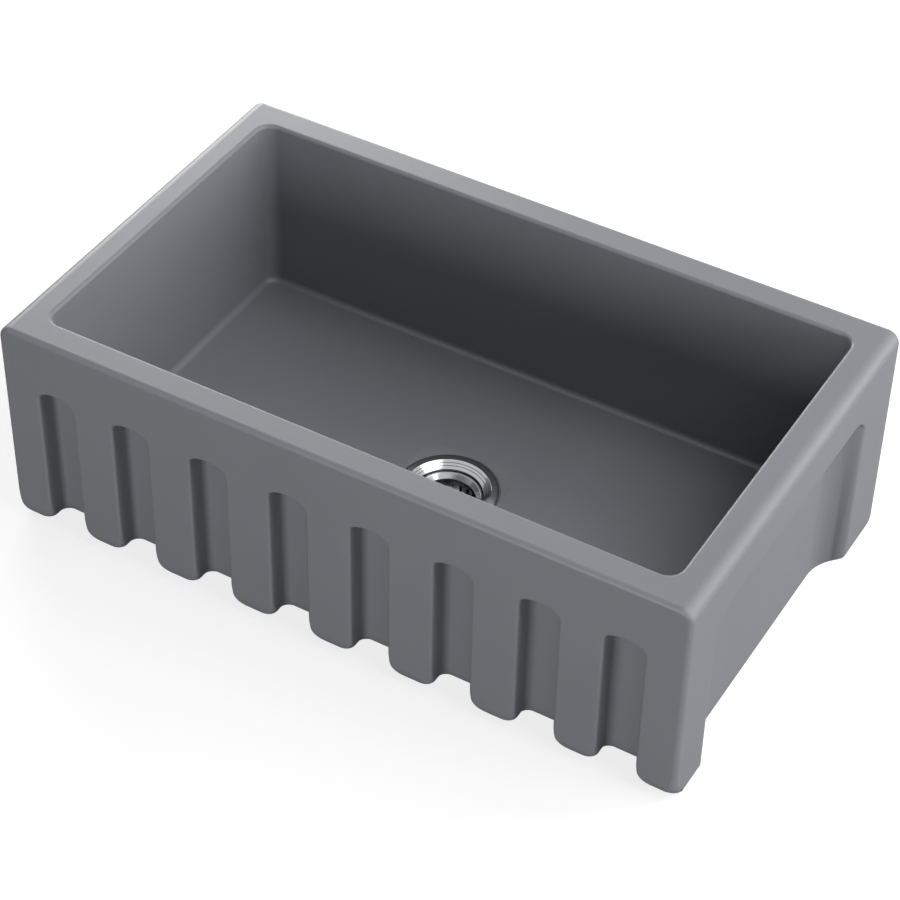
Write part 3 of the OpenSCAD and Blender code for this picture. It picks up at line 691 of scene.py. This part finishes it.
def moved(solid, middle):
    """Shifts a solid sideways to the flute that it belongs to."""
    points, faces = solid
    return [(x + middle, y, z) for x, y, z in points], faces


def arch_outline(off, y):
    """The flute's outline in a plane at depth y, grown by off; straight below, arched above."""
    right = [(FLUTE_HALF + off, BELOW), (FLUTE_HALF + off, CORNER_Z)]
    for k in range(1, CORNER_STEPS + 1):
        turned = (math.pi / 2 - CORNER_TURN) * k / CORNER_STEPS
        right.append((
            CORNER_X + (CORNER_R + off) * math.cos(turned),
            CORNER_Z + (CORNER_R + off) * math.sin(turned),
        ))
    for k in range(1, ARCH_STEPS + 1):
        turned = CORNER_TURN * (1 - k / ARCH_STEPS)
        right.append((
            (ARCH_R + off) * math.sin(turned), ARCH_Z + (ARCH_R + off) * math.cos(turned)
        ))
    left = [(-x, z) for x, z in right[-2::-1]]
    return [(x, y, z) for x, z in right + left]


def pocket(middle):
    """One flute's pocket, from in front of the apron to the flute's floor."""
    stations = [(LIP_R, -POCKET_LEAD)]
    for t in quarter(LIP_STEPS):
        stations.append((LIP_R * (1 - math.sin(t)), LIP_R * (1 - math.cos(t))))
    for t in quarter(ROOT_STEPS):
        stations.append((
            -ROOT_R * (1 - math.cos(t)), FLUTE_DEEP - ROOT_R + ROOT_R * math.sin(t)
        ))
    rings = [arch_outline(off, APRON_Y + deep) for off, deep in stations]
    return moved(loft(rings), middle)


print("points in a pocket's outline:", len(arch_outline(0.0, APRON_Y)))

# %% [markdown]
# The casting's underside meets its faces in a big rounding, and the flutes have it too. Their
# foot is a loft of outlines that grow towards the bottom as that rounding does. It starts a hair
# inside the pocket's walls, so that no two faces of a cut lie in the same plane.

# %% The foot of a flute
HAIR = 0.04
FOOT_STEPS = 12


def foot(middle):
    """What the bottom rounding takes away along the walls, roots and floor of one flute."""
    rings = [foot_outline(TOE_R - HAIR, BELOW)]
    for t in reversed(quarter(FOOT_STEPS)):
        off = TOE_R * (1 - math.cos(t)) - HAIR
        rings.append(foot_outline(off, TOE_R * (1 - math.sin(t))))
    return moved(loft(rings), middle)


def foot_outline(off, z):
    """The flute's plan at height z, grown by off."""
    right = [(FLUTE_HALF + off, APRON_Y - WASTE)]
    for t in quarter(ROOT_STEPS):
        right.append((
            FLUTE_HALF - ROOT_R + (ROOT_R + off) * math.cos(t),
            APRON_Y + FLUTE_DEEP - ROOT_R + (ROOT_R + off) * math.sin(t),
        ))
    return [(x, y, z) for x, y in right] + [(-x, y, z) for x, y in right[::-1]]


print("points in a foot's outline:", len(foot_outline(0.0, 0.0)))

# %% [markdown]
# In the photo the upright corners of a rib grow rounder towards the foot. So the radius grows
# downwards from the lip's own size, and near the bottom it has to stay small enough not to cut
# into the flute's root. One solid of waste does one corner, and its mirror image does the other.

# %% The round corners of the toes
TOE_CORNER_R = 15.0
TOE_CORNER_TOP = 36.0
TOE_CORNER_ROOM = 18.4
TOE_CORNER_LEAST = 0.5
TOE_CORNER_BEND = 1.5
RISE_STEPS = 5
CORNER_HAIR = 0.06
APRON_HALF, APRON_CORNER_R, APRON_SHRINK = 381.0, 5.6, 0.12


def toe_corner(wall_x, start_r, shrink):
    """Rounds an upright corner of the apron ever more towards its foot. The rib lies on the
    +X side of wall_x; shrink says how far its wall steps back with the bottom rounding."""
    heights = [
        TOE_CORNER_TOP - (TOE_CORNER_TOP - TOE_R) * k / RISE_STEPS for k in range(RISE_STEPS)
    ]
    heights += [TOE_R * (1 - math.sin(t)) for t in quarter(FOOT_STEPS)]
    rings = []
    for z in heights:
        t = math.asin(min(1.0, max(0.0, 1 - z / TOE_R)))
        off = TOE_R * (1 - math.cos(t))
        grown = (1 - z / TOE_CORNER_TOP) ** TOE_CORNER_BEND
        radius = start_r - CORNER_HAIR + (TOE_CORNER_R - start_r) * grown
        radius = max(TOE_CORNER_LEAST, min(radius, TOE_CORNER_ROOM - off))
        rings.append(corner_outline(wall_x + off * shrink, APRON_Y + off, radius, z))
    rings.append([(x, y, BELOW) for x, y, z in rings[-1]])
    return loft(rings)


def corner_outline(x, y, radius, z):
    """The waste of one rounded corner at height z, open towards -X and -Y."""
    points = [(x - WASTE, y - WASTE, z), (x - WASTE, y + radius, z)]
    for t in quarter(CORNER_STEPS):
        points.append((
            x + radius * (1 - math.cos(t)), y + radius * (1 - math.sin(t)), z
        ))
    points.append((x + radius, y - WASTE, z))
    return points


def mirrored(solid, middle=0.0):
    """The same solid on the other side of the upright plane at x = middle."""
    points, faces = solid
    return [(2 * middle - x, y, z) for x, y, z in points], faces


def toe_corners():
    """Both corners beside every flute, and the two outer corners of the apron."""
    solids = []
    for x in FLUTE_PLACES:
        right = toe_corner(x + FLUTE_HALF, LIP_R, 1.0)
        solids += [right, mirrored(right, x)]
    outer = toe_corner(-APRON_HALF, APRON_CORNER_R, APRON_SHRINK)
    return solids + [outer, mirrored(outer)]


print("toe corners:", len(toe_corners()))

# %% [markdown]
# The packed model has flutes of its own, a little wider and not as deep. So the carving starts as
# a restorer's repair does: a window is cut out of the apron, a plain blank with the right bottom
# rounding is let in, and the measured flutes are carved into it, first the pockets, then the feet,
# then the toe corners. The imported mesh has double points along its sharp edges and is welded
# first, because an exact Boolean needs a closed skin. The casting stays one piece.

# %% Blank, then cut
BLANK_HALF = 352.0
BLANK_TOP = 212.0
BLANK_BACK = -200.0
BLANK_STEPS = 16
WINDOW_MARGIN = 20.0
WELD_REACH = 2e-6


def blank():
    """The plain front of the casting with its rounded bottom edge, as one bar."""
    section = [(BLANK_BACK, BLANK_TOP), (APRON_Y, BLANK_TOP), (APRON_Y, TOE_R)]
    for t in quarter(BLANK_STEPS)[1:]:
        section.append((
            APRON_Y + TOE_R * (1 - math.cos(t)), TOE_R * (1 - math.sin(t))
        ))
    section.append((BLANK_BACK, 0.0))
    return loft([[(x, y, z) for y, z in section] for x in (-BLANK_HALF, BLANK_HALF)])


def window():
    """The part of the apron that the blank takes the place of."""
    front, low = APRON_Y - WINDOW_MARGIN, -WINDOW_MARGIN
    section = [(front, low), (BLANK_BACK, low), (BLANK_BACK, BLANK_TOP), (front, BLANK_TOP)]
    return loft([[(x, y, z) for y, z in section] for x in (-BLANK_HALF, BLANK_HALF)])


def weld(mesh):
    """Joins the points that an import leaves double along every sharp edge."""
    shape = bmesh.new()
    shape.from_mesh(mesh)
    bmesh.ops.remove_doubles(shape, verts=shape.verts, dist=WELD_REACH)
    open_edges = sum(1 for edge in shape.edges if len(edge.link_faces) != 2)
    shape.to_mesh(mesh)
    shape.free()
    return open_edges


def make_casting():
    node = frame["nodes"]["sink_body"]
    casting = bpy.data.objects.new("fluted_casting", node.data.copy())
    bpy.context.scene.collection.objects.link(casting)
    print("open edges before carving:", weld(casting.data))
    carve(casting, "DIFFERENCE", gather("window", [window()]))
    carve(casting, "UNION", gather("blank", [blank()]))
    carve(casting, "DIFFERENCE", gather("pockets", [pocket(x) for x in FLUTE_PLACES]))
    carve(casting, "DIFFERENCE", gather("feet", [foot(x) for x in FLUTE_PLACES]))
    carve(casting, "DIFFERENCE", gather("toe_corners", toe_corners()))
    finish_carved(casting, fireclay)
    return stand_for(casting, "sink_body", "sink")


casting = make_casting()
print("faces in the casting:", len(casting.data.polygons))

# %% [markdown]
# The basket is pressed too. Its rim is dished like the strainer's throat, so both catch the
# light as rings. The slots are punched after the pressing, upright in the wall and
# radial in the floor, which is also the order here: first the lathe, then one cut for all slots.

# %% Slots
WALL_SLOTS, FLOOR_SLOTS, SLOT_HALF = 20, 10, 1.5
WALL_SLOT_ENDS, WALL_PUNCH = (0.5, 20.5), (20.0, 34.0)
FLOOR_SLOT_ENDS, FLOOR_PUNCH = (9.5, 17.5), (-11.0, -6.0)
SLOT_END_STEPS = 6


def stadium(first, last):
    """A slot's outline as pairs of along and across, with half circles round both ends."""
    outline = []
    for end, start in ((last, 0.0), (first, math.pi)):
        for k in range(SLOT_END_STEPS + 1):
            t = start + math.pi * k / SLOT_END_STEPS
            outline.append((end + SLOT_HALF * math.sin(t), -SLOT_HALF * math.cos(t)))
    return outline


def swung(r, across, angle):
    """A point beside the ray at an angle, r out along the ray."""
    return (
        r * math.cos(angle) - across * math.sin(angle),
        r * math.sin(angle) + across * math.cos(angle),
    )


def wall_slot(angle):
    """An upright slot through the wall, punched outwards."""
    outline = stadium(*WALL_SLOT_ENDS)
    return loft([[(*swung(r, across, angle), z) for z, across in outline] for r in WALL_PUNCH])


def floor_slot(angle):
    """A slot through the floor along a ray, punched upwards."""
    outline = stadium(*FLOOR_SLOT_ENDS)
    return loft([[(*swung(r, across, angle), z) for r, across in outline] for z in FLOOR_PUNCH])


def round_the_axis(make, count):
    """One solid for each of count even steps round the drain's axis."""
    return [make(2 * math.pi * i / count) for i in range(count)]


punches = round_the_axis(wall_slot, WALL_SLOTS) + round_the_axis(floor_slot, FLOOR_SLOTS)
print("slots to punch:", len(punches))

# %% Basket
basket = turn("basket_cup", "basket", soften([
    (3.7, -9.1, 0.1), (24.4, -9.1, 4.8), (30.3, 25.2, 1.2), (34.6, 30.4, 0.4), (36.3, 30.4, 0.3),
    (36.3, 31.4, 0.5), (34.2, 31.4, 0.9), (29.6, 26.6, 1.8), (23.5, -8.1, 4.0), (3.7, -8.1, 0.1),
], steps=6), sides=144)
carve(basket, "DIFFERENCE", gather("punches", punches))
finish_carved(basket, polished_steel)
print("faces in the basket:", len(basket.data.polygons))

# %% [markdown]
# The sink stands on a white floor, as a product does in a catalogue. The tailpiece hangs below
# the foot ring, so the floor has a round hole there, as the shelf of a sink cabinet has. The
# camera sees the floor white, part lit and part glowing, and it keeps the shadow. The object sees
# it grey, so that it doesn't throw too much light up at the apron. Seen from below the floor
# isn't drawn, so that a view from there shows the fittings under the bowl.

# %% Floor
FLOOR_REACH = 9.0
FLOOR_HOLE_R = 0.05
FLOOR_SIDES = 64
FLOOR_SEEN = (0.86, 0.86, 0.87)
FLOOR_BOUNCE = (0.22, 0.22, 0.22)
FLOOR_GLOW = 1.25
FLOOR_GLOW_SHARE = 0.62


def make_floor_finish():
    finish = Finish("white_floor", Base_Color=(*FLOOR_SEEN, 1.0), Roughness=0.9)
    glow = finish.node(
        "ShaderNodeEmission", {}, {"Color": (1.0, 1.0, 1.0, 1.0), "Strength": FLOOR_GLOW}
    )
    eye = finish.node("ShaderNodeLightPath", output="Is Camera Ray")
    finish.show("Base Color", finish.mix(eye, FLOOR_BOUNCE, FLOOR_SEEN))
    lit = finish.node(
        "ShaderNodeMixShader", {},
        {0: eye * FLOOR_GLOW_SHARE, 1: Wire(finish, finish.surface.outputs[0]), 2: glow},
    )
    clear = finish.node("ShaderNodeBsdfTransparent")
    below = finish.node("ShaderNodeNewGeometry", output="Backfacing")
    shown = finish.node("ShaderNodeMixShader", {}, {0: below * eye, 1: lit, 2: clear})
    out = finish.tree.nodes["Material Output"]
    finish.feed(out.inputs["Surface"], shown)
    return finish.material


def make_floor():
    points, faces = [], []
    for radius in (FLOOR_HOLE_R, FLOOR_REACH):
        for i in range(FLOOR_SIDES):
            angle = 2 * math.pi * i / FLOOR_SIDES
            points.append((radius * math.cos(angle), radius * math.sin(angle), 0.0))
    for i in range(FLOOR_SIDES):
        j = (i + 1) % FLOOR_SIDES
        faces.append((i, FLOOR_SIDES + i, FLOOR_SIDES + j, j))
    mesh = bpy.data.meshes.new("floor")
    mesh.from_pydata(points, [], faces)
    mesh.materials.append(make_floor_finish())
    floor = bpy.data.objects.new("floor", mesh)
    bpy.context.scene.collection.objects.link(floor)


make_floor()
print("floor reach in m:", FLOOR_REACH)

# %% [markdown]
# The photo tells where its light comes from. The rim and the right side are about as bright as
# each other, the front is half as bright, and the wall at the back of the bowl is nearly dark. So
# nine big soft lamps stand round the sink. Their powers began as a fit: one test picture for each
# lamp alone, and the mix of pictures that comes nearest to the photo's plain surfaces. The two
# lamps that the drain's throat would mirror as a glare are kept out of mirrors.

# %% Lamps
TARGET = Vector((0.0, 0.0, 0.15))
LAMP_DISTANCE = 3.0
LAMP_SIDE = 1.7
LAMPS = {
    "front_low": (0, 0, 71.0),
    "front_right_low": (45, 0, 13.0),
    "right_low": (90, 6, 54.0),
    "right_high": (90, 55, 38.0),
    "back_right_low": (135, 6, 19.0),
    "back_right": (135, 22, 24.0),
    "back_right_high": (135, 55, 26.0),
    "back_left_low": (225, 6, 27.0),
    "back_left": (225, 22, 42.0),
}
NOT_MIRRORED = {"back_right", "back_right_high"}


def hang_lamp(name, azimuth, elevation, power):
    """A square soft lamp aimed at the sink. Azimuth 0 is in front of the apron, 90 right."""
    around, up = math.radians(azimuth), math.radians(elevation)
    way = Vector((
        math.sin(around) * math.cos(up), -math.cos(around) * math.cos(up), math.sin(up)
    ))
    lamp = bpy.data.lights.new(name, "AREA")
    lamp.size = LAMP_SIDE
    lamp.energy = power
    hung = bpy.data.objects.new(name, lamp)
    hung.location = TARGET + way * LAMP_DISTANCE
    hung.rotation_mode = "QUATERNION"
    hung.rotation_quaternion = (-way).to_track_quat("-Z", "Y")
    bpy.context.scene.collection.objects.link(hung)
    hung.visible_camera = False
    hung.visible_glossy = name not in NOT_MIRRORED


for lamp_name, (lamp_around, lamp_up, lamp_power) in LAMPS.items():
    hang_lamp(lamp_name, lamp_around, lamp_up, lamp_power)
print("lamps:", len(LAMPS), "power in W:", sum(power for _, _, power in LAMPS.values()))

# %% [markdown]
# The world is white to the camera, to mirrors and to what is seen through glass, and gives no
# other light, so the lamps alone shape the sink. The strength is the sum of three Light Path
# answers, of which at most one is 1 for any ray, held at 1 by the clamp.

# %% World
def make_world():
    world = bpy.data.worlds.new("studio")
    bpy.context.scene.world = world
    world.use_nodes = True
    bench = Workbench(world.node_tree)
    seen, mirrored_too, through = (
        bench.node("ShaderNodeLightPath", output=ray)
        for ray in ("Is Camera Ray", "Is Glossy Ray", "Is Transmission Ray")
    )
    strength = bench.node(
        "ShaderNodeMath", {"operation": "ADD", "use_clamp": True},
        {0: seen + mirrored_too, 1: through},
    )
    sky = world.node_tree.nodes["Background"]
    bench.feed(sky.inputs["Color"], (1.0, 1.0, 1.0, 1.0))
    bench.feed(sky.inputs["Strength"], strength)


make_world()
bpy.context.scene.view_settings.view_transform = "Standard"
print("view transform:", bpy.context.scene.view_settings.view_transform)

# %% [markdown] The dressed sink must not be bigger than the model that it stands for.
